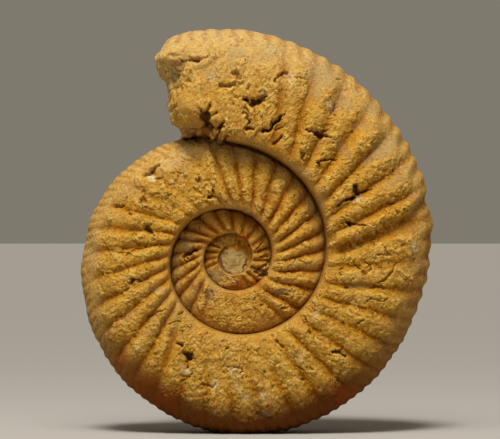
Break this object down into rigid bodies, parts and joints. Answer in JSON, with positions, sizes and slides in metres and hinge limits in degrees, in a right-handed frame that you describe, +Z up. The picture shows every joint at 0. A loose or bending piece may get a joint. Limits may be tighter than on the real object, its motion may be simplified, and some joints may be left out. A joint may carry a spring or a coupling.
{
  "type": "perisphinctes ammonite fossil",
  "caption": "Coiled ammonite fossil of ochre limestone with ribbed whorls, a broken aperture end and a small worn spot on its rim that it stands on.",
  "frame": {"origin": "middle of the bounding box in X and Y, at the level of the worn spot that the fossil stands on", "axes": "+Z up, +X to the right of someone who faces the better flank, which looks to -Y; the broken aperture end is at the upper left"},
  "size_m": [0.1196, 0.0388, 0.1363],
  "materials": {
    "stone": "rough matte ochre limestone with brown, grey and rust patches"
  },
  "bodies": {
    "root": {"ammonite": "stone"}
  },
  "joints": []
}
